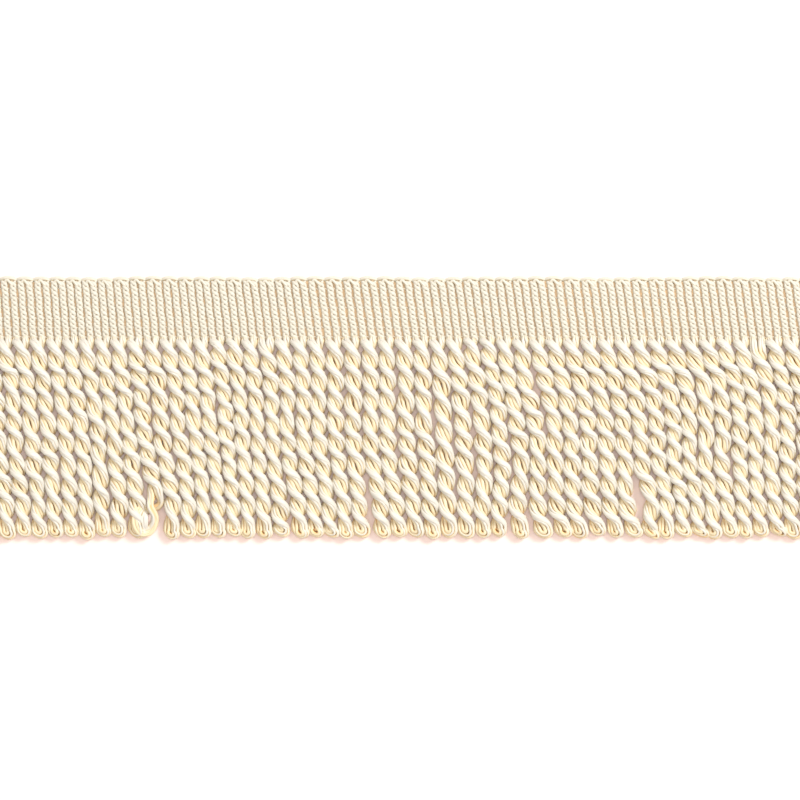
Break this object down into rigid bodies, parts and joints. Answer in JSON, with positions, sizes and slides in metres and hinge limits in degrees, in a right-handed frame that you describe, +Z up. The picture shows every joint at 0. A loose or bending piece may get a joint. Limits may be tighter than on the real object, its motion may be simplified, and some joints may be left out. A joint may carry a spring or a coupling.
{
  "type": "bullion fringe trim",
  "caption": "Cut length of cream bullion fringe: a flat ribbed heading with an arched upper edge and a close row of twisted two-ply cords that end in small loops.",
  "frame": {"origin": "middle of the trim's box, on the surface it lies on", "axes": "+X along the trim, +Y from the cord ends towards the arched edge of the heading, +Z up out of the face"},
  "size_m": [0.2586, 0.0756, 0.0069],
  "materials": {
    "heading_yarn": "cream spun yarn with a soft sheen, ribbed",
    "cord_yarn": "cream two-ply twisted cord with a satin sheen"
  },
  "bodies": {
    "root": {"heading": "heading_yarn", "fringe": "cord_yarn"}
  },
  "joints": []
}
